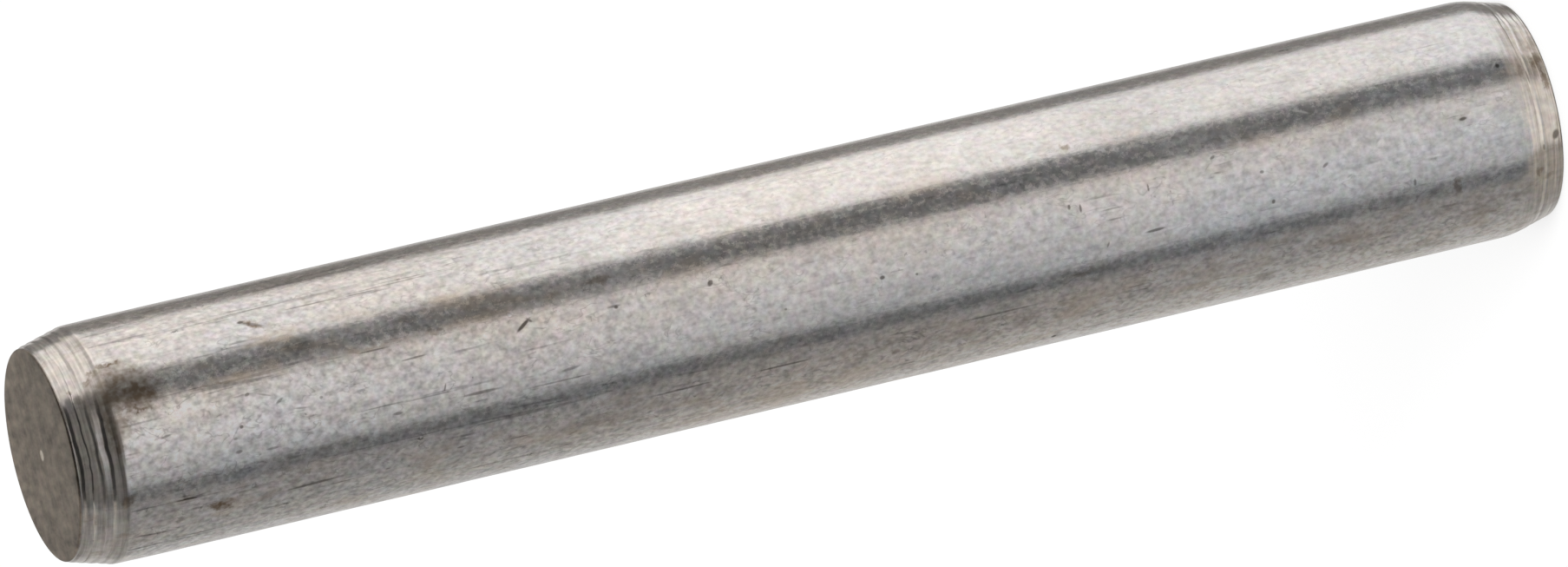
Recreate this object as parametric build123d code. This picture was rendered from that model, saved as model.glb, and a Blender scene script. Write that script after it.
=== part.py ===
from build123d import *
import math
import os

# A parallel pin that locks a square-drive socket onto its driver. It stands on its bottom face,
# with its axis along +Z and the middle of that face at the origin. Lengths are in millimetres.

# Shank
shank_diameter = 3.0
pin_length = 19.7

# Lead cones, which guide the pin into its cross hole. The angle is between a cone and the axis.
lead_angle = 15.0
bottom_lead_length = 0.53
top_lead_length = 0.60

# Where a cone meets the shank. Tumbling has worn the bottom one much rounder than the top one.
bottom_shoulder_radius = 1.2
top_shoulder_radius = 0.2

# Broken edge between each flat end face and its cone
face_edge_radius = 0.05

# Shallow round mark that the facing tool leaves at the middle of the top face
centre_mark_diameter = 0.14
centre_mark_depth = 0.015


def face_radius(lead_length):
    """Radius at which a lead cone of this length would meet its flat end face at a sharp corner."""
    return shank_diameter / 2 - lead_length * math.tan(math.radians(lead_angle))


def turned_outline():
    """Outer line of the half section, from the middle of the bottom face to that of the top face."""
    corners = [
        (0, 0),
        (face_radius(bottom_lead_length), 0),
        (shank_diameter / 2, bottom_lead_length),
        (shank_diameter / 2, pin_length - top_lead_length),
        (face_radius(top_lead_length), pin_length),
        (0, pin_length),
    ]
    radii = [face_edge_radius, bottom_shoulder_radius, top_shoulder_radius, face_edge_radius]
    return FilletPolyline(*corners, radius=radii)


def turned_blank():
    """The half section turned once around the axis."""
    with BuildPart() as blank:
        with BuildSketch(Plane.XZ):
            with BuildLine():
                outline = turned_outline()
                Line(outline @ 1, outline @ 0)
            make_face()
        revolve(axis=Axis.Z)
    return blank.part


def centre_mark():
    """Ball whose cap reaches below the top face by the mark's depth, over the mark's diameter."""
    half_width = centre_mark_diameter / 2
    ball_radius = (half_width**2 + centre_mark_depth**2) / (2 * centre_mark_depth)
    height = pin_length - centre_mark_depth + ball_radius
    return Pos(0, 0, height) * Sphere(ball_radius)


def retaining_pin():
    """The finished pin, one solid."""
    pin = turned_blank() - centre_mark()
    pin.label = "retaining_pin"
    return pin


os.makedirs("parts", exist_ok=True)
export_step(retaining_pin(), "parts/retaining_pin.step")
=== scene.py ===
import math
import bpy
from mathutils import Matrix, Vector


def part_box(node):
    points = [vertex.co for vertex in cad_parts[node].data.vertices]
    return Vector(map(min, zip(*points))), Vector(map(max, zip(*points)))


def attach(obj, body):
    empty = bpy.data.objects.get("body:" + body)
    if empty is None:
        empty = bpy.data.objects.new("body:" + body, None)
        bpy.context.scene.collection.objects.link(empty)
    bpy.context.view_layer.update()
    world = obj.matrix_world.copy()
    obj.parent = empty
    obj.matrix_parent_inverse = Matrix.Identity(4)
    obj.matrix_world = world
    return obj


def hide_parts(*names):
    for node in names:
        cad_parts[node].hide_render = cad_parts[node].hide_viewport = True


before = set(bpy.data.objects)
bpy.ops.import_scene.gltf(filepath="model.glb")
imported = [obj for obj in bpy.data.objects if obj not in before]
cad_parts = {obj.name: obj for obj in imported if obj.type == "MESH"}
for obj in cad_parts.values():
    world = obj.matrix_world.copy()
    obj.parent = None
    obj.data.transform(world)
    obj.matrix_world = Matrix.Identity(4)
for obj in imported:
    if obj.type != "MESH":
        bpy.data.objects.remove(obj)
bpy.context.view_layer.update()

from types import SimpleNamespace

import bpy
import numpy as np
from mathutils import Matrix, Vector

bl_info = {
    "name": "Socket retaining pin",
    "version": (1, 0, 0),
    "blender": (4, 5, 0),
    "location": "3D View > Sidebar > Retaining Pin",
    "description": "Makes a ground steel pin with turned lead cones, and a plain stage to show it on",
    "category": "Object",
}

MM = 0.001
NODE = "retaining_pin"
PIN_LOW, PIN_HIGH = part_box(NODE)
PIN_LENGTH = PIN_HIGH.z - PIN_LOW.z
SHANK_RADIUS = (PIN_HIGH.x - PIN_LOW.x) / 2
SEED = 7

# Points along the arcs and the straight runs of the half section, from the bottom face up.
ARC_POINTS = (9, 17, 9, 9)
RUN_POINTS = (12, 50, 136, 90)
TOP_FACE_POINTS = 24
BOWL_POINTS = 9

# Waves of the ground shank: the shortest and longest in millimetres, and their count. Then how high the
# short ones are, as a share of the long ones, and by what share all are lower on the cones.
LONG_WAVES = (1.0, 3.0, 24)
SHORT_WAVES = (0.35, 0.8, 60)
SHORT_WAVE_HEIGHT = 0.45
CONE_CALM = 0.6

# Where the zones of the pin give way to each other. A face is where the surface leans this far, from 0 on
# the shank to 1 square to the axis, and a cone reaches to these shares of its length.
FACE_LEAN = (0.3, 0.8)
BOTTOM_CONE_END = (0.55, 1.4)
TOP_CONE_END = (0.97, 1.06)

# Grooves that the turning tool left in the lead cones. For each, in millimetres: its distance from the
# end face, the width of its side towards the face and of its other side, then its depth as a share of
# the groove depth, and how much painted shade lies on its other side, which is painted highlight where below
# 0.
TOP_GROOVES = (
    (0.044, 1.000, 0.042, 1.8, 0.6), (0.168, 0.075, 0.015, 1.5, 0.5), (0.274, 0.066, 0.036, 1.2, 0.6),
    (0.402, 0.078, 0.042, 2.5, 0.4), (0.522, 0.080, 0.045, 1.3, 0.7), (0.602, 0.050, 0.500, 1.2, 0.0))
BOTTOM_GROOVES = (
    (0.050, 0.030, 0.020, 0.3, 0.3), (0.120, 0.040, 0.022, 0.5, -0.3), (0.215, 0.060, 0.020, 0.4, 0.2),
    (0.280, 0.030, 0.040, 0.8, -0.6), (0.330, 0.030, 0.016, 0.4, 0.4), (0.420, 0.050, 0.026, 0.5, -0.3),
    (0.500, 0.050, 0.030, 0.3, 0.2))

TENT_RADIUS = 1.5
FLOOR_REACH = 1.4
LAMP_SIZE = 0.3
LAMP_PLACE = (0.06, -0.32, 0.42)
SENSOR_WIDTH = 36
CLIP_SPAN = 100


# Settings that a user would change


class PinSizes(bpy.types.PropertyGroup):
    """Sizes of the pin's ends and of the marks that its tools left."""

    lead_angle: bpy.props.FloatProperty(
        name="Lead angle", description="Angle between a lead cone and the axis",
        default=math.radians(15), subtype="ANGLE")
    bottom_lead: bpy.props.FloatProperty(
        name="Bottom lead", description="Length of the bottom cone along the axis",
        default=0.53 * MM, unit="LENGTH", precision=5)
    top_lead: bpy.props.FloatProperty(
        name="Top lead", description="Length of the top cone along the axis",
        default=0.60 * MM, unit="LENGTH", precision=5)
    bottom_shoulder: bpy.props.FloatProperty(
        name="Bottom shoulder", description="Radius where the bottom cone meets the shank",
        default=1.2 * MM, unit="LENGTH", precision=5)
    top_shoulder: bpy.props.FloatProperty(
        name="Top shoulder", description="Radius where the top cone meets the shank",
        default=0.2 * MM, unit="LENGTH", precision=5)
    face_edge: bpy.props.FloatProperty(
        name="Face edge", description="Radius of the broken edge round each end face",
        default=0.05 * MM, unit="LENGTH", precision=5)
    mark_radius: bpy.props.FloatProperty(
        name="Centre mark radius", description="Radius of the mark at the middle of the top face",
        default=0.07 * MM, unit="LENGTH", precision=5)
    mark_depth: bpy.props.FloatProperty(
        name="Centre mark depth", description="Depth of the mark at the middle of the top face",
        default=0.015 * MM, unit="LENGTH", precision=5)
    groove_depth: bpy.props.FloatProperty(
        name="Groove depth", description="Depth of a plain turned groove on the lead cones",
        default=0.0042 * MM, unit="LENGTH", precision=6)
    waviness: bpy.props.FloatProperty(
        name="Waviness", description="Height of the ground shank's long low waves",
        default=0.0007 * MM, unit="LENGTH", precision=6)
    columns: bpy.props.IntProperty(
        name="Columns", description="Faces round the pin", default=240, min=32)


class PinFinish(bpy.types.PropertyGroup):
    """Colours and gloss of the pin's surfaces."""

    warm: bpy.props.FloatVectorProperty(
        name="Warm steel", description="Colour of the shank's warmer patches",
        default=(0.83, 0.775, 0.725), subtype="COLOR", size=3, min=0, max=1)
    cool: bpy.props.FloatVectorProperty(
        name="Cool steel", description="Colour of the shank's cooler patches",
        default=(0.775, 0.765, 0.76), subtype="COLOR", size=3, min=0, max=1)
    turned: bpy.props.FloatVectorProperty(
        name="Turned steel", description="Colour of the lead cones",
        default=(0.73, 0.69, 0.65), subtype="COLOR", size=3, min=0, max=1)
    face: bpy.props.FloatVectorProperty(
        name="End face", description="Colour of the end faces",
        default=(0.29, 0.25, 0.212), subtype="COLOR", size=3, min=0, max=1)
    oil: bpy.props.FloatVectorProperty(
        name="Oil", description="Colour of the dried oil by the top cone",
        default=(0.235, 0.18, 0.13), subtype="COLOR", size=3, min=0, max=1)
    grime: bpy.props.FloatVectorProperty(
        name="Grime", description="Colour of the thin dirt in the grain",
        default=(0.40, 0.345, 0.28), subtype="COLOR", size=3, min=0, max=1)
    tarnish: bpy.props.FloatVectorProperty(
        name="Tarnish", description="Colour of the thin brownish film on the shank",
        default=(0.78, 0.64, 0.50), subtype="COLOR", size=3, min=0, max=1)
    brown_mark: bpy.props.FloatVectorProperty(
        name="Brown marks", description="Colour of the brown spots and smears",
        default=(0.26, 0.19, 0.13), subtype="COLOR", size=3, min=0, max=1)
    dark_mark: bpy.props.FloatVectorProperty(
        name="Dark marks", description="Colour of the pits, cuts and hairlines",
        default=(0.10, 0.085, 0.07), subtype="COLOR", size=3, min=0, max=1)
    # Painted highlight: the pale marks stand in for glints on nicks and scratches.
    glint_highlight: bpy.props.FloatVectorProperty(
        name="Pale marks", description="Colour of the bright nicks and scratches",
        default=(0.95, 0.93, 0.9), subtype="COLOR", size=3, min=0, max=1)
    # Painted highlight: a pale glint in the centre mark of the top face.
    centre_glint_colour: bpy.props.FloatVectorProperty(
        name="Centre mark", description="Colour of the mark at the middle of the top face",
        default=(0.95, 0.9, 0.82), subtype="COLOR", size=3, min=0, max=1)
    shank_roughness: bpy.props.FloatProperty(
        name="Shank roughness", description="Roughness of the ground shank",
        default=0.13, min=0, max=1, subtype="FACTOR")
    lead_roughness: bpy.props.FloatProperty(
        name="Cone roughness", description="Roughness of the turned cones",
        default=0.13, min=0, max=1, subtype="FACTOR")
    face_roughness: bpy.props.FloatProperty(
        name="Face roughness", description="Roughness of the end faces",
        default=0.34, min=0, max=1, subtype="FACTOR")
    haze: bpy.props.FloatProperty(
        name="Haze", description="Share of the light that the fine grain scatters widely",
        default=0.32, min=0, max=1, subtype="FACTOR")
    haze_roughness: bpy.props.FloatProperty(
        name="Haze roughness", description="Roughness of the part that scatters widely",
        default=0.29, min=0, max=1, subtype="FACTOR")
    relief: bpy.props.FloatProperty(
        name="Relief", description="Height of the finest grain",
        default=0.0006 * MM, unit="LENGTH", precision=6)


class PinStage(bpy.types.PropertyGroup):
    """How the pin is shown."""

    elevation: bpy.props.FloatProperty(
        name="Elevation", description="Height of the camera above the horizon",
        default=math.radians(17.58), subtype="ANGLE")
    roll: bpy.props.FloatProperty(
        name="Roll", description="Turn of the picture, which lays the standing pin across it",
        default=math.radians(103.16), subtype="ANGLE")
    lens: bpy.props.FloatProperty(
        name="Lens", description="Focal length of the camera in millimetres",
        default=600, min=1)
    view_width: bpy.props.FloatProperty(
        name="View width", description="Width of the picture at the middle of the pin",
        default=19.378 * MM, unit="LENGTH", precision=5)
    pan_right: bpy.props.FloatProperty(
        name="Pan right", description="How far the pin's middle stands right of the picture's",
        default=0.055 * MM, unit="LENGTH", precision=6)
    pan_up: bpy.props.FloatProperty(
        name="Pan up", description="How far the pin's middle stands above the picture's",
        default=0.032 * MM, unit="LENGTH", precision=6)
    floor: bpy.props.FloatVectorProperty(
        name="Floor", description="Colour of the floor",
        default=(0.92, 0.92, 0.92), subtype="COLOR", size=3, min=0, max=1)
    floor_lift: bpy.props.FloatProperty(
        name="Floor lift", description="How far the floor is lifted to white where it is seen",
        default=0.75, min=0, max=1, subtype="FACTOR")
    air_light: bpy.props.FloatProperty(
        name="Air light", description="Strength of the even light from all round",
        default=0.8, min=0)
    lamp_power: bpy.props.FloatProperty(
        name="Lamp power", description="Power of the soft lamp", default=2.0, min=0, unit="POWER")


# Shader nodes as Python expressions


class Wire:
    """An output of a shader node. Arithmetic on it adds Math nodes to its tree."""

    def __init__(self, tree, socket):
        self.tree = tree
        self.socket = socket

    def node(self, kind, settings=None, sockets=None, output=0):
        return node(self.tree, kind, settings, sockets, output)

    def math(self, operation, first, second):
        return self.node("ShaderNodeMath", {"operation": operation}, {0: first, 1: second})

    def __add__(self, other):
        return self.math("ADD", self, other)

    def __sub__(self, other):
        return self.math("SUBTRACT", self, other)

    def __rsub__(self, other):
        return self.math("SUBTRACT", other, self)

    def __mul__(self, other):
        return self.math("MULTIPLY", self, other)

    __radd__ = __add__
    __rmul__ = __mul__

    def __abs__(self):
        return self.math("ABSOLUTE", self, 0)

    def largest(self, other):
        """The larger of two values."""
        return self.math("MAXIMUM", self, other)

    def other(self, output):
        """Another output of the same node."""
        return Wire(self.tree, self.socket.node.outputs[output])


def node(tree, kind, settings=None, sockets=None, output=0):
    """Adds one node, its settings first and then its sockets' values or links, and returns an output."""
    made = tree.nodes.new(kind)
    for name, value in (settings or {}).items():
        setattr(made, name, value)
    for name, value in (sockets or {}).items():
        if isinstance(value, Wire):
            tree.links.new(value.socket, made.inputs[name])
        else:
            made.inputs[name].default_value = value
    return Wire(tree, made.outputs[output]) if made.outputs else None


def empty_material(name):
    """A new material with no nodes yet."""
    material = bpy.data.materials.new(name)
    material.use_nodes = True
    material.node_tree.nodes.clear()
    return material


# The pin's outline and surface


def smooth_step(value, start, end):
    """0 before start and 1 after end, with a smooth rise between them."""
    share = np.clip((value - start) / (end - start), 0, 1)
    return share * share * (3 - 2 * share)


def inside(value, span, soft):
    """1 within the span and 0 outside it, with smooth edges of the given width."""
    start, end = span
    return smooth_step(value, start - soft / 2, start + soft / 2) * (
        1 - smooth_step(value, end - soft / 2, end + soft / 2))


def fillet_arc(before, corner, after, radius, count):
    """Points of the arc of this radius that touches both lines of a corner, ends included."""
    back = (before - corner) / np.linalg.norm(before - corner)
    ahead = (after - corner) / np.linalg.norm(after - corner)
    half_corner = math.acos(np.clip(back @ ahead, -1, 1)) / 2
    middle = corner + (back + ahead) / np.linalg.norm(back + ahead) * radius / math.sin(half_corner)
    start = corner + back * radius / math.tan(half_corner) - middle
    turn = math.pi - 2 * half_corner
    side = math.copysign(1, start[0] * ahead[1] - start[1] * ahead[0])
    angles = side * np.linspace(0, turn, count)
    return middle + np.stack([
        start[0] * np.cos(angles) - start[1] * np.sin(angles),
        start[0] * np.sin(angles) + start[1] * np.cos(angles)], 1)


def outline(sizes):
    """Radius and height along the half section, from the middle of the bottom face to that of the top.

    Straight runs joined by arcs: face, broken edge, lead cone, shoulder, shank, and the same again.
    The top face ends in the bowl of the centre mark."""
    slope = math.tan(sizes.lead_angle)
    corners = np.array([
        (0, 0),
        (SHANK_RADIUS - sizes.bottom_lead * slope, 0),
        (SHANK_RADIUS, sizes.bottom_lead),
        (SHANK_RADIUS, PIN_LENGTH - sizes.top_lead),
        (SHANK_RADIUS - sizes.top_lead * slope, PIN_LENGTH),
        (0, PIN_LENGTH)])
    radii = [sizes.face_edge, sizes.bottom_shoulder, sizes.top_shoulder, sizes.face_edge]
    arcs = [
        fillet_arc(corners[i], corners[i + 1], corners[i + 2], radius, count)
        for i, (radius, count) in enumerate(zip(radii, ARC_POINTS))]
    starts = [corners[0]] + [arc[-1] for arc in arcs[:-1]]
    rows = []
    for start, arc, count in zip(starts, arcs, RUN_POINTS):
        end = arc[0]
        rows.append(start + (end - start) * np.linspace(0, 1, count)[:, None][:-1])
        rows.append(arc[:-1])
    face_radii = np.linspace(arcs[-1][-1][0], sizes.mark_radius, TOP_FACE_POINTS)
    rows.append(np.stack([face_radii, np.full_like(face_radii, PIN_LENGTH)], 1))
    bowl = np.linspace(sizes.mark_radius, 0, BOWL_POINTS)[1:]
    dip = sizes.mark_depth * (1 - (bowl / sizes.mark_radius) ** 2)
    rows.append(np.stack([bowl, PIN_LENGTH - dip], 1))
    return np.concatenate(rows)


def ripple(angle, height, random, shortest, longest, count=24):
    """A sum of cosine waves of random direction and phase over the surface, closed round the pin.

    Each wave is between the two given lengths, in millimetres. The mean square of the sum is one."""
    total = np.zeros(np.broadcast(angle, height).shape)
    for _ in range(count):
        number = 2 * math.pi / (MM * random.uniform(shortest, longest))
        heading = random.uniform(0, math.pi)
        turns = round(number * SHANK_RADIUS * math.cos(heading))
        total += np.cos(
            turns * angle + number * math.sin(heading) * height + random.uniform(0, 2 * math.pi))
    return total * math.sqrt(2 / count)


def groove_cut(distance, angle, grooves, random):
    """How deep the tool cut at a distance from the end face, as a share of the groove depth.

    Each groove is a V with a side towards the face and another beyond it, and it wanders and thins
    a little round the pin. The second value is the painted shade on the sides beyond, a painted highlight
    where it is below 0."""
    depth = np.zeros_like(distance)
    groove_shade = np.zeros_like(distance)
    for place, near, far, share, far_shade in grooves:
        wander = 0.006 * ripple(angle, 0, random, 0.3, 1.5) + 0.0025 * ripple(angle, 0, random, 0.12, 0.3)
        thinning = 1 + 0.2 * ripple(angle, 0, random, 0.5, 2.5)
        offset = distance / MM - place - wander
        depth += share * thinning * np.clip(1 - np.abs(offset) / np.where(offset < 0, near, far), 0, 1)
        # Painted shade on the side of each groove beyond the face, and painted highlight where its value is
        # below 0.
        groove_shade += far_shade * thinning * inside(offset, (0, far), 0.5 * far)
    return depth, groove_shade


def smooth_mesh(name, points, faces):
    """A mesh of these points and faces, shaded smooth."""
    mesh = bpy.data.meshes.new(name)
    mesh.from_pydata(points, [], faces)
    mesh.polygons.foreach_set("use_smooth", np.ones(len(mesh.polygons), bool))
    mesh.update()
    return mesh


def turned_mesh(name, radius, height, angle, ends):
    """A closed mesh of rings round the axis, one for each row of the grid, with a fan to each pole.

    ends are the heights of the poles, bottom first."""
    columns = radius.shape[1]
    rings = np.stack([radius * np.cos(angle), radius * np.sin(angle), height], -1).reshape(-1, 3)
    points = np.concatenate([[(0, 0, ends[0])], rings, [(0, 0, ends[1])]])
    below = 1 + np.arange(len(rings) - columns).reshape(-1, columns)
    beside = np.roll(below, -1, 1)
    quads = np.stack([below, beside, beside + columns, below + columns], -1).reshape(-1, 4)
    first, last = below[0], below[-1] + columns
    bottom_fan = np.stack([np.zeros_like(first), np.roll(first, -1), first], 1)
    top_fan = np.stack([np.full_like(last, len(points) - 1), last, np.roll(last, -1)], 1)
    return smooth_mesh(name, points, quads.tolist() + bottom_fan.tolist() + top_fan.tolist())


def store(mesh, name, grid, pole=0):
    """Stores a number at each point of a turned mesh: its grid's, and the same one at both poles."""
    values = np.concatenate([[pole], grid.ravel(), [pole]])
    mesh.attributes.new(name, "FLOAT", "POINT").data.foreach_set("value", values)


def pin_surface(name, sizes):
    """A closed mesh: the outline carried round the axis, then raised or sunk along its own normal.

    What raises it is a sum of low waves on the shank, and what sinks it is the grooves of the cones.
    The end faces and the poles stay where they are. Each point stores how much of it is face, cone
    (as lead) and painted shade by the grooves."""
    random = np.random.default_rng(SEED)
    rows = outline(sizes)
    along = np.gradient(rows, axis=0)
    normal = np.stack([along[:, 1], -along[:, 0]], 1) / np.linalg.norm(along, axis=1, keepdims=True)
    out, up = normal[1:-1, :1], normal[1:-1, 1:]
    turn = np.arange(sizes.columns) * 2 * math.pi / sizes.columns
    radius, height, angle, lean = (
        np.broadcast_to(part, (len(rows) - 2, sizes.columns))
        for part in (rows[1:-1, :1], rows[1:-1, 1:], turn, np.abs(up)))
    from_top = PIN_LENGTH - height
    on_face = smooth_step(lean, *FACE_LEAN)
    on_cone = 1 - np.minimum(
        smooth_step(height / sizes.bottom_lead, *BOTTOM_CONE_END),
        smooth_step(from_top / sizes.top_lead, *TOP_CONE_END))
    waves = ripple(angle, height, random, *LONG_WAVES)
    waves = waves + SHORT_WAVE_HEIGHT * ripple(angle, height, random, *SHORT_WAVES)
    top_cut, top_groove_shade = groove_cut(from_top, angle, TOP_GROOVES, random)
    bottom_cut, bottom_groove_shade = groove_cut(height, angle, BOTTOM_GROOVES, random)
    rise = sizes.waviness * waves * (1 - CONE_CALM * on_cone)
    lift = (1 - on_face) * (rise - sizes.groove_depth * (top_cut + bottom_cut))
    mesh = turned_mesh(name, radius + out * lift, height + up * lift, angle, (rows[0][1], rows[-1][1]))
    store(mesh, "face", on_face, pole=1)
    store(mesh, "lead", on_cone * (1 - on_face))
    # Painted shade and highlight by the cones' grooves.
    store(mesh, "groove_shade", (top_groove_shade + bottom_groove_shade) * (1 - on_face))
    return mesh


# The finish


# Marks on the pin, which a fitter's hands and the box that it lay in have left. Each has the azimuth
# in degrees and the height in millimetres of its middle, how far it is turned from the axis in degrees,
# its half width and half length in millimetres, and its strength.
DARK_MARKS = (
    (8.1, 13.77, 34, 0.024, 0.13, 0.9), (9.8, 13.68, -40, 0.018, 0.045, 0.7),
    (7.4, 11.31, 50, 0.034, 0.05, 0.8), (7.0, 12.58, 0, 0.018, 0.09, 0.5),
    (6.6, 12.56, 0, 0.026, 0.03, 0.8), (-8.6, 9.13, 0, 0.026, 0.035, 0.75),
    (3.7, 6.57, 80, 0.020, 0.035, 0.65), (1.9, 6.43, 86, 0.018, 0.055, 0.7),
    (4.1, 5.51, 88, 0.014, 0.05, 0.6), (-16.3, 5.52, 2, 0.020, 0.14, 0.7),
    (-1.6, 6.03, 0, 0.012, 0.15, 0.4), (-6.6, 6.03, 0, 0.012, 0.10, 0.4),
    (-18.0, 6.16, 60, 0.014, 0.04, 0.5), (-70.3, 6.82, 0, 0.035, 0.035, 0.9),
    (-15.9, 3.94, 60, 0.024, 0.03, 0.7), (-22.8, 2.06, 88, 0.02, 0.05, 0.6),
    (2.0, 1.30, 4, 0.022, 0.055, 0.8), (15.3, 0.31, 90, 0.012, 0.10, 0.5),
    (-16.6, 0.10, 60, 0.05, 0.07, 0.8), (-21.2, 0.29, 90, 0.02, 0.04, 0.5),
    (23.4, 0.66, 0, 0.03, 0.03, 0.8), (5.9, 17.41, 20, 0.022, 0.035, 0.6),
    (-8.2, 17.57, 0, 0.024, 0.028, 0.75), (-13.1, 17.67, 0, 0.018, 0.03, 0.5),
    (-19.7, 17.65, 0, 0.024, 0.05, 0.6), (-21.7, 17.21, 0, 0.018, 0.08, 0.5),
    (-0.4, 17.03, 30, 0.02, 0.06, 0.55), (4.0, 17.2, -20, 0.012, 0.10, 0.4),
    (-3.3, 16.5, 0, 0.02, 0.025, 0.5), (-19.1, 15.57, 0, 0.022, 0.07, 0.55),
    (11.2, 4.60, 30, 0.02, 0.04, 0.6), (-0.8, 4.02, 0, 0.022, 0.03, 0.6),
    (-4.5, 3.19, 30, 0.02, 0.05, 0.6), (-4.6, 18.54, 10, 0.016, 0.08, 0.5),
    (-5.9, 16.78, -8, 0.014, 0.09, 0.45), (-10.7, 8.68, 0, 0.018, 0.02, 0.6),
    (-12.8, 10.43, 0, 0.018, 0.02, 0.5), (43.4, 17.17, 0, 0.026, 0.045, 0.8),
    (40.6, 17.05, -26, 0.028, 0.15, 0.55),
    (50.1, 17.16, 1, 0.010, 0.45, 0.4), (44.8, 16.23, 0, 0.012, 0.40, 0.5),
    (44.2, 15.59, 0, 0.012, 0.22, 0.55), (45.8, 15.2, 1, 0.010, 0.7, 0.4),
    (47.5, 14.9, -1, 0.008, 0.6, 0.4), (-18.3, 14.46, 0, 0.022, 0.26, 0.6),
    (-17.0, 13.29, 5, 0.020, 0.13, 0.45), (-21.8, 13.43, 0, 0.012, 0.45, 0.45),
    (-11.9, 14.92, 70, 0.012, 0.05, 0.6), (4.9, 15.23, 2, 0.014, 0.17, 0.6),
    (12.7, 15.71, 0, 0.012, 0.20, 0.6), (-46.5, 16.7, 2, 0.022, 0.36, 0.65),
    (-41.6, 11.85, 1, 0.016, 0.38, 0.6), (-41.7, 10.5, 0, 0.016, 0.38, 0.6),
    (-40.7, 7.64, 0, 0.016, 0.5, 0.5), (-47.8, 14.0, 0, 0.014, 0.14, 0.5),
    (-45.4, 14.77, 0, 0.018, 0.06, 0.5), (23.9, 16.6, 0, 0.12, 0.20, 0.3))
BROWN_MARKS = (
    (34.0, 6.36, 0, 0.05, 0.06, 0.6), (36.0, 7.34, 88, 0.018, 0.04, 0.5),
    (-45.8, 17.89, 0, 0.085, 0.17, 1.0), (-38.2, 16.8, 0, 0.03, 0.08, 0.45),
    (-29.8, 1.49, 88, 0.05, 0.12, 0.6), (40.1, 16.99, -26, 0.055, 0.18, 0.9),
    (23.0, 0.12, 80, 0.07, 0.12, 0.7), (13.2, 0.08, 85, 0.03, 0.15, 0.7),
    (-32.8, 0.37, 60, 0.05, 0.07, 0.6), (18.5, 0.40, 80, 0.06, 0.08, 0.4),
    (33.2, 0.10, 60, 0.07, 0.12, 0.4), (14.0, 17.81, 0, 0.018, 0.22, 0.6),
    (13.6, 15.8, 0, 0.05, 0.75, 0.45), (23.5, 15.15, 0, 0.05, 0.10, 0.5),
    (20.9, 12.7, 0, 0.05, 0.20, 0.6), (14.9, 14.91, 0, 0.04, 0.12, 0.5),
    (-29.2, 6.51, 0, 0.04, 0.3, 0.35), (-50.0, 9.01, 0, 0.05, 0.07, 0.4),
    (8.4, 19.22, 80, 0.05, 0.14, 0.5), (31.0, 19.3, 0, 0.05, 0.05, 0.6),
    (28.4, 19.52, 0, 0.035, 0.04, 0.5), (-32.0, 19.15, 40, 0.07, 0.08, 0.6),
    (-45.0, 3.1, 0, 0.10, 0.45, 0.25), (-50.0, 13.0, 0, 0.12, 0.7, 0.2))
# Pale marks on nicks and scratches, painted as glints, in the same measures.
PAINTED_GLINTS = (
    (23.3, 3.30, -25, 0.018, 0.10, 0.9), (17.2, 2.08, 40, 0.014, 0.07, 0.6),
    (24.3, 0.70, 45, 0.016, 0.07, 0.6), (-25.6, 2.33, 0, 0.035, 0.035, 1.0),
    (17.4, 11.89, 50, 0.02, 0.06, 0.6), (64.0, 13.22, 0, 0.035, 0.05, 0.9),
    (-18.9, 17.12, 40, 0.012, 0.08, 0.6), (40.0, 19.05, 20, 0.04, 0.07, 0.5),
    (10.6, 18.98, 50, 0.025, 0.06, 0.5))
# Places where the shank is rubbed dull, in the same measures.
DULL_MARKS = (
    (24.5, 15.9, 0, 0.09, 0.45, 0.8), (20.5, 12.8, 0, 0.18, 1.10, 1.0), (22.0, 4.85, 0, 0.18, 0.90, 1.0),
    (20.0, 17.0, 0, 0.10, 0.25, 0.5), (44.0, 5.6, 0, 0.35, 0.75, 0.9))
# The thin veils and the thicker blots of dried oil, in the same measures.
VEILS = (
    (21.0, 18.86, 0, 0.32, 0.42, 0.8), (5.0, 19.06, 0, 0.22, 0.13, 0.6),
    (28.0, 19.17, 0, 0.12, 0.16, 0.5), (34.0, 18.96, 6, 0.10, 0.24, 0.5),
    (1.0, 19.14, 0, 0.30, 0.06, 0.6))
BLOTS = (
    (18.6, 18.76, 0, 0.21, 0.30, 0.95), (19.6, 18.90, 0, 0.12, 0.17, 0.8),
    (24.5, 19.02, 10, 0.07, 0.16, 0.9), (10.8, 18.80, 0, 0.05, 0.17, 0.9),
    (25.5, 18.80, 0, 0.11, 0.24, 0.75),
    (29.0, 18.70, -35, 0.04, 0.14, 0.8), (36.0, 18.98, 4, 0.045, 0.20, 0.9),
    (33.0, 19.23, 30, 0.05, 0.08, 0.7), (-31.4, 19.12, 0, 0.05, 0.09, 0.5))


# Half the depth of a mark in millimetres, how many marks a group has, and the factor that makes a group
# wait for the one before.
MARK_DEPTH = 0.3
MARKS_AT_ONCE = 10
NEXT_TO_NOTHING = 1e-9


def ramp(value, low, high):
    """0 at low and 1 at high, with a smooth rise between them, also where low is the larger."""
    if low > high:
        return 1 - ramp(value, high, low)
    return value.node(
        "ShaderNodeMapRange", {"interpolation_type": "SMOOTHSTEP"},
        {"Value": value, "From Min": low, "From Max": high}, "Result")


def noise(place, scale, detail, roughness, distortion=0):
    """Smooth random values, mostly between -1 and 1. The scale is in cycles a millimetre."""
    value = place.node(
        "ShaderNodeTexNoise", None,
        {"Vector": place, "Scale": scale, "Detail": detail, "Roughness": roughness,
         "Distortion": distortion}, "Fac")
    return (value - 0.5) * 4


def stretched(place, scale, turn=(0, 0, 0)):
    """The place, turned and then scaled on each axis, so that a pattern on it runs long where the
    scale is small."""
    return place.node(
        "ShaderNodeMapping", {"vector_type": "POINT"},
        {"Vector": place, "Rotation": turn, "Scale": scale})


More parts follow.
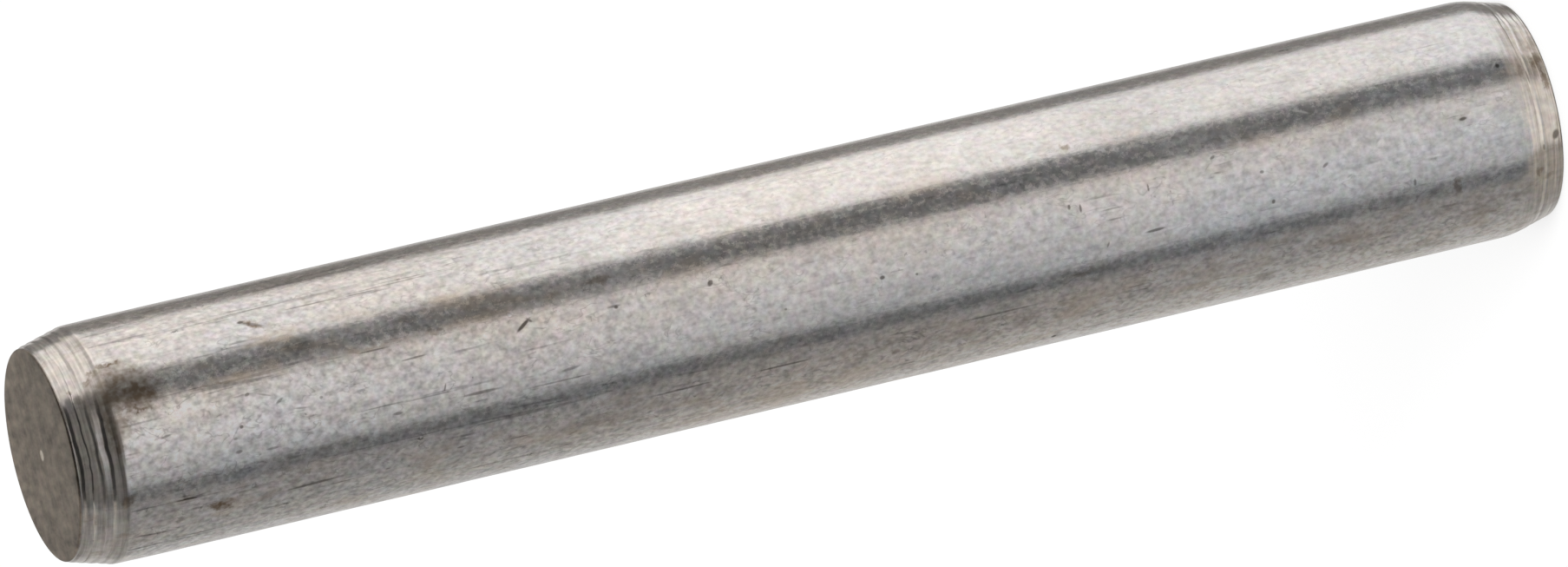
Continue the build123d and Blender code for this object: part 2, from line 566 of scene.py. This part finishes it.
def warped(place, scale, reach):
    """The place, shifted at random by up to about this many millimetres, so that edges turn ragged."""
    shift = place.node(
        "ShaderNodeTexNoise", None, {"Vector": place, "Scale": scale, "Detail": 4.0, "Roughness": 0.7},
        "Color")
    centred = place.node("ShaderNodeVectorMath", {"operation": "SUBTRACT"}, {0: shift, 1: (0.5,) * 3})
    return place.node(
        "ShaderNodeVectorMath", {"operation": "MULTIPLY_ADD"}, {0: centred, 1: (2 * reach,) * 3, 2: place})


def specks(place, scale, size, share):
    """1 on small scattered specks and 0 between them, of the given size in cells.

    Each cell of the pattern has one speck, of its own strength, and this share of them shows."""
    gap = place.node("ShaderNodeTexVoronoi", None, {"Vector": place, "Scale": scale}, "Distance")
    own = place.node("ShaderNodeSeparateColor", None, {"Color": gap.other("Color")}, "Red")
    return ramp(gap, size, size * 0.4) * ramp(own, 1 - share, 1.0)


def plain_radius(height, sizes):
    """Radius of the pin at a height, both in millimetres, without its rounded corners."""
    above = height - (PIN_LENGTH - sizes.top_lead) / MM
    below = sizes.bottom_lead / MM - height
    return SHANK_RADIUS / MM - math.tan(sizes.lead_angle) * max(0, above, below)


def marks(place, entries, sizes, edge=(1.25, 0.55)):
    """1 in the middle of any of the marks and 0 outside them: one stretched ball for each.

    The edge is where a mark ends and where it is at its full strength, as shares of its size. A shader
    can hold only so many values at a time, so each group of marks is made to wait for the one before:
    its place is moved by next to nothing times that group's cover."""
    cover = None
    for count, (azimuth, height, turn, half_width, half_length, strength) in enumerate(entries):
        if count % MARKS_AT_ONCE == 0 and count > 0:
            place = place.node(
                "ShaderNodeVectorMath", {"operation": "ADD"}, {0: place, 1: cover * NEXT_TO_NOTHING})
        around = math.radians(azimuth - 90)
        radius = plain_radius(height, sizes)
        middle = (radius * math.cos(around), radius * math.sin(around), height)
        local = place.node(
            "ShaderNodeMapping", {"vector_type": "TEXTURE"},
            {"Vector": place, "Location": middle, "Rotation": (math.radians(turn), 0, around),
             "Scale": (MARK_DEPTH, half_width, half_length)})
        reach = local.node("ShaderNodeVectorMath", {"operation": "LENGTH"}, {0: local}, "Value")
        spot = ramp(reach, *edge) * strength
        cover = spot if cover is None else cover.largest(spot)
    return cover


def oil_stain(place, mottle, sizes):
    """Up to 1 where old oil has dried by the top cone, and 0 elsewhere."""
    ragged = warped(place, 7.0, 0.2)
    veils = marks(ragged, VEILS, sizes, (1.5, 0.5))
    cover = veils.largest(marks(ragged, BLOTS, sizes, (1.5, 0.3)))
    return node(place.tree, "ShaderNodeClamp", None, {"Value": cover * (0.95 - mottle * 0.22)})


def blend(share, first, second):
    """A colour between two, by the share of the second. Each is a wire or plain red, green and blue."""
    first, second = (colour if isinstance(colour, Wire) else (*colour, 1) for colour in (first, second))
    return share.node("ShaderNodeMix", {"data_type": "RGBA"}, {0: share, 6: first, 7: second}, 2)


def toned(colour, tone):
    """A colour made lighter or darker."""
    return tone.node("ShaderNodeVectorMath", {"operation": "SCALE"}, {0: colour, "Scale": tone})


def tinted(colour, place, scale, amount):
    """A colour with its red, green and blue each changed a little at random from place to place."""
    shift = place.node(
        "ShaderNodeTexNoise", None, {"Vector": place, "Scale": scale, "Detail": 1.0, "Roughness": 0.5},
        "Color")
    change = place.node(
        "ShaderNodeVectorMath", {"operation": "MULTIPLY_ADD"},
        {0: shift, 1: (amount * 4,) * 3, 2: (1 - amount * 2,) * 3})
    return place.node("ShaderNodeVectorMath", {"operation": "MULTIPLY"}, {0: colour, 1: change})


def stored(tree, name):
    """The numbers that a mesh stores under a name, one for each of its points."""
    return node(tree, "ShaderNodeAttribute", {"attribute_name": name}, None, "Fac")


def pin_zones(tree):
    """Wires that say where on the pin a point is.

    The place, the height and across, which is Y, are in millimetres. side is 1 on the side towards +X,
    -1 on the other, and 0 between them. Each zone is 1 inside and 0 outside."""
    metres = node(tree, "ShaderNodeTexCoord", None, None, "Object")
    place = node(tree, "ShaderNodeVectorMath", {"operation": "SCALE"}, {0: metres, "Scale": 1 / MM})
    face = stored(tree, "face")
    lead = stored(tree, "lead")
    shank = 1 - face - lead
    flat = stretched(place, (1, 1, 0))
    bearing = node(tree, "ShaderNodeVectorMath", {"operation": "NORMALIZE"}, {0: flat})
    height = node(tree, "ShaderNodeSeparateXYZ", None, {0: place}, "Z")
    level = node(tree, "ShaderNodeCombineXYZ", None, {"Z": height})
    # The place as if the pin were as thick all the way, for a pattern that runs round it.
    round_it = node(tree, "ShaderNodeVectorMath", {"operation": "ADD"}, {0: bearing, 1: level})
    # The top end is handled the most.
    handled = ramp(height, 9, 16)
    across = node(tree, "ShaderNodeSeparateXYZ", None, {0: place}, "Y")
    side = node(tree, "ShaderNodeSeparateXYZ", None, {0: bearing}, "X")
    left = ramp(side, -0.3, -0.8)
    right = ramp(side, 0.35, 0.6)
    front = ramp(side, 0.55, 0.40) * ramp(side, -0.62, -0.5)
    # A dull belt along the shank, between the front and the right side.
    belt = ramp(side, 0.15, 0.28) * ramp(side, 0.62, 0.48)
    return SimpleNamespace(
        place=place, flat=flat, round_it=round_it, height=height, across=across, side=side, face=face,
        lead=lead, shank=shank, handled=handled, left=left, right=right, front=front, belt=belt)


def pin_patterns(tree, at):
    """Wires with the random patterns of the steel, mostly between -1 and 1, and the place made ragged.

    The films of grime and tarnish go from 0 to 1, and the groove shade is the painted shade and highlight
    that the mesh stores by the grooves."""
    place = at.place
    return SimpleNamespace(
        ragged=warped(place, 8.0, 0.12),
        # The ground shank, from the finest to the widest. What runs along it is stretched the most.
        grain=noise(stretched(place, (1, 1, 0.8)), 15, 1, 0.55),
        satin=noise(stretched(place, (1, 1, 0.6)), 5, 1, 0.55),
        streaks=noise(stretched(place, (1, 1, 0.1)), 14, 3, 0.6),
        hairs=noise(stretched(place, (1, 1, 0.035)), 9, 3, 0.65),
        creases=noise(stretched(place, (1, 1, 0.5)), 5.5, 2, 0.6, 0.6),
        cloud=noise(place, 2.2, 3, 0.6),
        patch=noise(stretched(place, (1, 1, 0.5), (0, 0, 0.3)), 0.9, 5, 0.68),
        # The streaks that run round the cones.
        turned=noise(stretched(at.round_it, (1.2, 1.2, 20)), 1, 4, 0.7),
        # The end faces.
        lined=noise(stretched(place, (3, 6, 1)), 1, 3, 0.7),
        speckle=noise(stretched(place, (8, 3, 1)), 1, 2, 0.6),
        # Painted shade and highlight by the grooves, as the mesh stores it.
        groove_shade=stored(tree, "groove_shade"),
        grime=ramp(noise(stretched(place, (1, 1, 0.4)), 3.2, 5, 0.72), 0.1, 0.8),
        tarnish=ramp(noise(stretched(place, (1, 1, 0.45)), 2.6, 3, 0.6), 0.0, 0.8))


def pin_wear(at, pattern, sizes):
    """Wires with what use has left on the pin: 1 where it is strongest and 0 where there is none. The pale
    ones are painted glints on nicks and scratches.
    """
    place, ragged = at.place, pattern.ragged
    grain, satin, cloud = pattern.grain, pattern.satin, pattern.cloud
    fine_lines = ramp(pattern.streaks, 0.4, 0.9) * ramp(cloud, -0.6, 0.4)
    return SimpleNamespace(
        scratch=fine_lines + ramp(pattern.hairs, 0.35, 0.8) * at.handled,
        cracks=ramp(abs(pattern.creases), 0.11, 0.02) * ramp(cloud + satin, -0.1, 0.5),
        nicks=specks(stretched(ragged, (1, 1, 0.33)), 3.6, 0.13, 0.45),
        pits=specks(ragged, 4.5, 0.12, 0.55),
        flecks=ramp(noise(stretched(place, (1, 1, 0.8)), 13, 3, 0.7), 0.0, 0.7),
        dark=marks(place, DARK_MARKS, sizes),
        brown=marks(ragged, BROWN_MARKS, sizes, (1.4, 0.4)) * ramp(satin + grain * 0.6, -0.9, 0.1),
        # Painted highlights: pale glints on nicks and scratches.
        pale=marks(place, PAINTED_GLINTS, sizes),
        dull=marks(ragged, DULL_MARKS, sizes, (1.6, 0.2)),
        stain=oil_stain(place, satin + grain, sizes))


def steel_tone(at, pattern, wear):
    """How light the steel is, where 1 is its plain colour, with painted light and shade in it."""
    grain, satin, cloud = pattern.grain, pattern.satin, pattern.cloud
    # How strongly the grain and the cuts show.
    worn = 1 + at.left * 0.35 - at.right * 0.3 + at.handled * (0.4 - at.right * 0.05 - at.left * 0.3)
    # Painted shade towards both ends, which is laid on the right side below.
    end_shade = ramp(at.height, 10.5, 15) * 0.15 + ramp(at.height, 8, 4) * 0.10
    tone = (1 + (grain * 0.21 + satin * 0.09) * worn * at.shank + cloud * 0.04
            + (pattern.turned * 0.36 + grain * 0.10 + satin * 0.12) * at.lead
            + (pattern.lined * 0.30 + pattern.speckle * 0.42 + cloud * 0.14) * at.face)
    cuts = wear.scratch * 0.34 + wear.nicks * (0.6 - at.left * 0.2) + wear.cracks * 0.2
    tone = tone * (1 - cuts * at.shank * worn) * (1 - wear.pits * 0.45)
    # Painted shade and light: the right side is darker towards both ends, and the shank a little lighter by
    # the top cone.
    darker = end_shade * at.right - ramp(at.height, 14, 19.5) * 0.04
    # Painted shade on the far sides of the cones' grooves, heavier on the front side, and painted highlight
    # where it is below 0.
    tone = tone * (1 - darker * at.shank) * (1 - pattern.groove_shade * (0.40 + at.front * 0.12) * at.lead)
    # Painted light and shade: the end faces are lighter at the back and darker along their edge at the
    # camera's side.
    tone = tone * (1 + (at.across * 0.09 - ramp(at.across, -0.95, -1.3) * 0.14) * at.face)
    # Painted light: the bottom end is lighter from the front round to the left, and so is the lower half at
    # the far left. The shank is darker where it is rubbed dull on the right side.
    painted_light = (ramp(at.height, 9, 4) * (0.01 + ramp(at.side, 0.1, -0.3) * 0.075)
               + ramp(at.height, 15, 9) * ramp(at.side, -0.75, -0.95) * 0.10)
    return tone * (1 + (painted_light - wear.dull * at.right * 0.09) * at.shank)


def steel_colour(at, pattern, wear, finish):
    """The steel's own colour and tone, and over it grime, tarnish, oil and marks, in that order.

    The tone holds painted light and shade, the pale marks are painted glints, and the centre mark
    is painted pale as a glint last of all.
    """
    cool = (ramp(pattern.patch, -0.5, 0.6) * (0.5 + at.handled * 0.3)
            + ramp(at.height, 12, 2) * 0.5 + at.handled * at.left * 0.45)
    colour = blend(cool, finish.warm, finish.cool)
    colour = blend(at.lead * 0.7, colour, finish.turned)
    colour = blend(at.face, colour, finish.face)
    colour = toned(colour, steel_tone(at, pattern, wear))
    colour = tinted(colour, at.place, 9.0, 0.04)
    grime = pattern.grime * (0.17 + at.handled * 0.08 + at.left * (0.35 - at.handled * 0.15) + at.lead * 0.25)
    colour = blend(grime * (1 - at.face), colour, finish.grime)
    tarnish = pattern.tarnish * (at.belt * (0.4 + at.handled * 0.2) + at.left * 0.35)
    colour = blend(tarnish * at.shank, colour, finish.tarnish)
    colour = blend(wear.stain, colour, finish.oil)
    colour = blend(wear.brown, colour, finish.brown_mark)
    colour = blend(wear.dark, colour, finish.dark_mark)
    # Painted highlights: the nicks and scratches are painted pale as glints.
    colour = blend(wear.pale, colour, finish.glint_highlight)
    # Painted highlight: the centre mark in the middle of the top face is painted pale as a glint.
    from_axis = at.flat.node("ShaderNodeVectorMath", {"operation": "LENGTH"}, {0: at.flat}, "Value")
    centre_glint = ramp(from_axis, 0.08, 0.05) * ramp(at.height, 10, 11)
    return blend(centre_glint, colour, finish.centre_glint_colour)


def steel_roughness(at, pattern, wear, finish):
    """Roughness of the sheen: its own in each zone, uneven on the shank and higher under the oil."""
    return (finish.shank_roughness + (finish.lead_roughness - finish.shank_roughness) * at.lead
            + (finish.face_roughness - finish.shank_roughness) * at.face
            + (pattern.grain * 0.05 + pattern.satin * 0.04) * at.shank + wear.stain * 0.15)


def steel_relief(at, pattern):
    """Height of the fine relief as a share of the finish's: grain, turned streaks and face lines."""
    return ((pattern.satin + pattern.grain * 0.35 + pattern.streaks * 0.5) * at.shank
            + pattern.turned * 0.5 * at.lead + (pattern.lined * 0.6 + pattern.speckle * 0.4) * at.face)


def steel_dullness(at, pattern, wear):
    """How much more of the light the shank scatters widely, where it is flecked, rubbed or handled."""
    return (wear.flecks * (0.5 + at.belt * 0.55) + ramp(pattern.patch, 0.0, 0.8) * at.belt * 0.25
            + wear.dull * ramp(at.side, 0.15, 0.28) * 0.25
            + at.handled * 0.16 + ramp(at.height, 6, 2) * 0.10 + wear.pale * 0.6) * at.shank


def steel_material(finish, sizes):
    """Ground steel with turned ends: the colour, gloss and fine relief of each zone of the pin.

    The shank has a satin grain that runs along it, cloudy warm and cool patches, pits and scratches.
    The cones have streaks that run round them. The end faces are browner, duller and lined across.
    A sharp sheen is mixed with a wide haze, and the duller a place is, the more haze it has."""
    material = empty_material("ground_steel")
    tree = material.node_tree
    at = pin_zones(tree)
    pattern = pin_patterns(tree, at)
    wear = pin_wear(at, pattern, sizes)
    metal = {"Base Color": steel_colour(at, pattern, wear, finish), "Metallic": 1.0}
    roughness = steel_roughness(at, pattern, wear, finish)
    bump = node(tree, "ShaderNodeBump", None, {
        "Height": steel_relief(at, pattern), "Strength": 1.0, "Distance": finish.relief})
    sheen = node(tree, "ShaderNodeBsdfPrincipled", None, {**metal, "Roughness": roughness, "Normal": bump})
    haze = node(tree, "ShaderNodeBsdfPrincipled", None, {
        **metal, "Roughness": finish.haze_roughness + at.face * 0.12})
    dullness = steel_dullness(at, pattern, wear) + wear.stain * 0.5 + finish.haze
    steel = node(tree, "ShaderNodeMixShader", None, {0: dullness, 1: sheen, 2: haze})
    node(tree, "ShaderNodeOutputMaterial", None, {"Surface": steel})
    return material


# The stage


# Panels of the studio tent, each painted over the last. The numbers are degrees: the azimuths where
# a panel starts and ends, with 0 at the camera's side and 90 at +X, and its lowest and highest
# elevation. Its colours run evenly from its start to its end. Its sides are blurred over the panel
# edge, unless it gives a width of its own: edge for its start and end, and soft for its low and high.
TENT_WALL = (0.114, 0.121, 0.128)
PANEL_EDGE = 9
PANELS = {
    "ceiling": {
        "azimuth": (-200, 200), "elevation": (26, 100),
        "colours": ((0.04, 0.04, 0.04),)},
    "front upper": {
        "azimuth": (-62, 50), "elevation": (0, 26),
        "colours": ((0.15, 0.145, 0.135),)},
    "back": {
        "azimuth": (120, 240), "elevation": (4, 60),
        "colours": ((0.46, 0.44, 0.41),)},
    "ground": {
        "azimuth": (-50, 200), "elevation": (-100, -34), "soft": 16,
        "colours": ((0.76, 0.71, 0.66), (0.62, 0.58, 0.54), (0.62, 0.58, 0.54))},
    "ground gap": {
        "azimuth": (33, 62), "elevation": (-54, -34), "soft": 10,
        "colours": ((0.32, 0.29, 0.255),)},
    "ground left": {
        "azimuth": (-170, -50), "elevation": (-100, -34), "soft": 16,
        "colours": ((0.36, 0.335, 0.30),)},
    "front": {
        "azimuth": (-51, 29.1), "elevation": (-40, -2),
        "colours": ((0.375, 0.39, 0.41), (0.48, 0.49, 0.51), (0.592, 0.59, 0.605), (0.65, 0.635, 0.63),
                    (0.68, 0.64, 0.615))},
    "left": {
        "azimuth": (-150, -67), "elevation": (-36, 3),
        "colours": ((0.45, 0.44, 0.425), (0.36, 0.35, 0.335), (0.28, 0.27, 0.265), (0.26, 0.255, 0.255))},
    "left upper": {
        "azimuth": (-150, -66), "edge": 14, "elevation": (3, 22),
        "colours": ((0.40, 0.38, 0.36), (0.32, 0.31, 0.295))},
    "left high": {
        "azimuth": (-150, -66), "edge": 14, "elevation": (22, 60),
        "colours": ((0.56, 0.53, 0.49),)},
    "back left": {
        "azimuth": (-204, -146), "elevation": (-100, 0),
        "colours": ((0.62, 0.61, 0.60), (0.58, 0.57, 0.56), (0.53, 0.52, 0.51))},
    "back right": {
        "azimuth": (120, 158), "elevation": (-100, 0),
        "colours": ((0.23, 0.22, 0.21),)},
    "right low": {
        "azimuth": (59, 125.5), "edge": 12, "elevation": (-37, -1),
        "colours": ((1, 0.985, 0.98),)},
    "right upper": {
        "azimuth": (51, 126), "elevation": (-9, 46),
        "colours": ((0.90, 0.87, 0.84),)},
    "right high": {
        "azimuth": (51, 127), "elevation": (46, 90),
        "colours": ((0.10, 0.09, 0.095),)},
}


def tent_colour(azimuth, elevation):
    """Colour of the tent in directions given in degrees: the wall, with each panel laid over it."""
    colour = np.broadcast_to(TENT_WALL, (*azimuth.shape, 3)).copy()
    for panel in PANELS.values():
        start, end = panel["azimuth"]
        for turn in (-360, 0, 360):
            mask = inside(azimuth + turn, (start, end), panel.get("edge", PANEL_EDGE)) * inside(
                elevation, panel["elevation"], panel.get("soft", PANEL_EDGE))
            stops = np.linspace(start, end, len(panel["colours"]))
            paint = np.stack([np.interp(azimuth + turn, stops, part) for part in zip(*panel["colours"])], -1)
            colour += mask[..., None] * (paint - colour)
    return colour


def grid_mesh(name, points, closed=False):
    """A mesh of four-sided faces over a grid of points, joined round its second direction if closed."""
    rows, columns = points.shape[:2]
    index = np.arange(rows * columns).reshape(rows, columns)
    if closed:
        index = np.concatenate([index, index[:, :1]], 1)
    quads = np.stack([index[:-1, :-1], index[:-1, 1:], index[1:, 1:], index[1:, :-1]], -1)
    return smooth_mesh(name, points.reshape(-1, 3), quads.reshape(-1, 4).tolist())


def tent_material():
    """The tent's panels, which glow in their own colours."""
    material = empty_material("tent_panels")
    material.cycles.emission_sampling = "NONE"
    tree = material.node_tree
    panel = node(tree, "ShaderNodeAttribute", {"attribute_name": "panel"})
    glow = node(tree, "ShaderNodeEmission", None, {"Color": panel})
    node(tree, "ShaderNodeOutputMaterial", None, {"Surface": glow})
    return material


def studio_tent():
    """A sphere of panels far round the pin, which shows in metal alone and throws no shadow."""
    azimuth, elevation = np.meshgrid(np.arange(-180.0, 180.0), np.arange(-90.0, 91.0))
    turn, rise = np.radians(azimuth), np.radians(elevation)
    points = TENT_RADIUS * np.stack(
        [np.sin(turn) * np.cos(rise), -np.cos(turn) * np.cos(rise), np.sin(rise)], -1)
    mesh = grid_mesh("studio_tent", points, closed=True)
    colour = tent_colour(azimuth, elevation).reshape(-1, 3)
    layer = mesh.attributes.new("panel", "FLOAT_COLOR", "POINT")
    layer.data.foreach_set("color", np.concatenate([colour, np.ones((len(colour), 1))], 1).ravel())
    mesh.materials.append(tent_material())
    tent = bpy.data.objects.new("studio_tent", mesh)
    tent.visible_camera = False
    tent.visible_diffuse = False
    tent.visible_shadow = False
    return tent


def seen_plainly(tree):
    """1 for what the camera sees straight, in metal or through glass, and 0 for light on a surface."""
    ray = node(tree, "ShaderNodeLightPath", None, None, "Is Camera Ray")
    plainly = ray + ray.other("Is Glossy Ray") + ray.other("Is Transmission Ray")
    return node(tree, "ShaderNodeClamp", None, {"Value": plainly})


def floor_material(stage):
    """A pale matt floor, lifted to white where it is seen, with the pin's shadow left in it."""
    material = empty_material("pale_floor")
    material.cycles.emission_sampling = "NONE"
    tree = material.node_tree
    matt = node(tree, "ShaderNodeBsdfDiffuse", None, {"Color": (*stage.floor, 1)})
    glow = node(tree, "ShaderNodeEmission", None, {"Color": (1, 1, 1, 1)})
    lift = seen_plainly(tree) * stage.floor_lift
    surface = node(tree, "ShaderNodeMixShader", None, {0: lift, 1: matt, 2: glow})
    node(tree, "ShaderNodeOutputMaterial", None, {"Surface": surface})
    return material


def make_floor(stage):
    """A wide flat sheet that the pin stands on. Metal doesn't mirror it."""
    reach = np.linspace(-FLOOR_REACH, FLOOR_REACH, 3)
    x, y = np.meshgrid(reach, reach)
    mesh = grid_mesh("floor", np.stack([x, y, np.full_like(x, PIN_LOW.z)], -1))
    mesh.materials.append(floor_material(stage))
    floor = bpy.data.objects.new("floor", mesh)
    floor.visible_glossy = False
    return floor


def make_world(stage):
    """Even white light from all round. Metal mirrors the tent before it."""
    world = bpy.data.worlds.new("studio_air")
    world.use_nodes = True
    tree = world.node_tree
    tree.nodes.clear()
    strength = seen_plainly(tree) * (1 - stage.air_light) + stage.air_light
    air = node(tree, "ShaderNodeBackground", None, {"Color": (1, 1, 1, 1), "Strength": strength})
    node(tree, "ShaderNodeOutputWorld", None, {"Surface": air})
    bpy.context.scene.world = world


def make_lamp(stage):
    """One wide soft lamp over the pin's bright side."""
    data = bpy.data.lights.new("soft_lamp", "AREA")
    data.shape = "DISK"
    data.size = LAMP_SIZE
    data.energy = stage.lamp_power
    lamp = bpy.data.objects.new("soft_lamp", data)
    lamp.visible_camera = False
    lamp.visible_glossy = False
    lamp.location = LAMP_PLACE
    lamp.rotation_mode = "QUATERNION"
    lamp.rotation_quaternion = Vector(LAMP_PLACE).to_track_quat("Z", "Y")
    bpy.context.scene.collection.objects.link(lamp)


def make_camera(stage):
    """A long lens at the camera's elevation on the front side, rolled to lay the pin across the picture."""
    data = bpy.data.cameras.new("camera")
    data.sensor_width = SENSOR_WIDTH
    data.lens = stage.lens
    back = Vector((0, -math.cos(stage.elevation), math.sin(stage.elevation)))
    side = Vector((1, 0, 0))
    rise = back.cross(side)
    right = side * math.cos(stage.roll) - rise * math.sin(stage.roll)
    up = side * math.sin(stage.roll) + rise * math.cos(stage.roll)
    distance = data.lens / data.sensor_width * stage.view_width
    middle = (PIN_LOW + PIN_HIGH) / 2
    place = middle + back * distance - right * stage.pan_right - up * stage.pan_up
    camera = bpy.data.objects.new("camera", data)
    camera.matrix_world = Matrix.Translation(place) @ Matrix((right, up, back)).transposed().to_4x4()
    data.clip_start = distance / CLIP_SPAN
    data.clip_end = distance * CLIP_SPAN
    bpy.context.scene.collection.objects.link(camera)
    bpy.context.scene.camera = camera


# Operators


class OBJECT_OT_retaining_pin(bpy.types.Operator):
    """Make the pin's turned and ground surface and put its finish on it"""

    bl_idname = "object.retaining_pin"
    bl_label = "Retaining Pin"

    def execute(self, context):
        scene = context.scene
        mesh = pin_surface("pin_surface", scene.pin_sizes)
        pin = bpy.data.objects.new("pin_surface", mesh)
        scene.collection.objects.link(pin)
        mesh.materials.append(steel_material(scene.pin_finish, scene.pin_sizes))
        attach(pin, "root")
        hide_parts(NODE)
        return {"FINISHED"}


class SCENE_OT_pin_stage(bpy.types.Operator):
    """Make the floor, the light and the camera"""

    bl_idname = "scene.pin_stage"
    bl_label = "Stage"

    def execute(self, context):
        scene = context.scene
        stage = scene.pin_stage
        make_camera(stage)
        make_world(stage)
        make_lamp(stage)
        for made in (make_floor(stage), studio_tent()):
            scene.collection.objects.link(made)
        scene.view_settings.view_transform = "Standard"
        return {"FINISHED"}


class VIEW3D_PT_retaining_pin(bpy.types.Panel):
    """Lists what the add-on makes and its settings."""

    bl_label = "Retaining Pin"
    bl_space_type = "VIEW_3D"
    bl_region_type = "UI"
    bl_category = "Retaining Pin"

    def draw(self, context):
        layout = self.layout
        for operator in OPERATORS:
            layout.operator(operator.bl_idname)
        for owner in (context.scene.pin_sizes, context.scene.pin_finish, context.scene.pin_stage):
            box = layout.box()
            for name in owner.__annotations__:
                box.prop(owner, name)


SETTINGS = {"pin_sizes": PinSizes, "pin_finish": PinFinish, "pin_stage": PinStage}
OPERATORS = (OBJECT_OT_retaining_pin, SCENE_OT_pin_stage)
CLASSES = (*SETTINGS.values(), *OPERATORS, VIEW3D_PT_retaining_pin)


def register():
    for made in CLASSES:
        bpy.utils.register_class(made)
    for name, kind in SETTINGS.items():
        setattr(bpy.types.Scene, name, bpy.props.PointerProperty(type=kind))


def unregister():
    for name in SETTINGS:
        delattr(bpy.types.Scene, name)
    for made in reversed(CLASSES):
        bpy.utils.unregister_class(made)


def main():
    register()
    bpy.ops.object.retaining_pin()
    bpy.ops.scene.pin_stage()


if __name__ == "__main__":
    main()
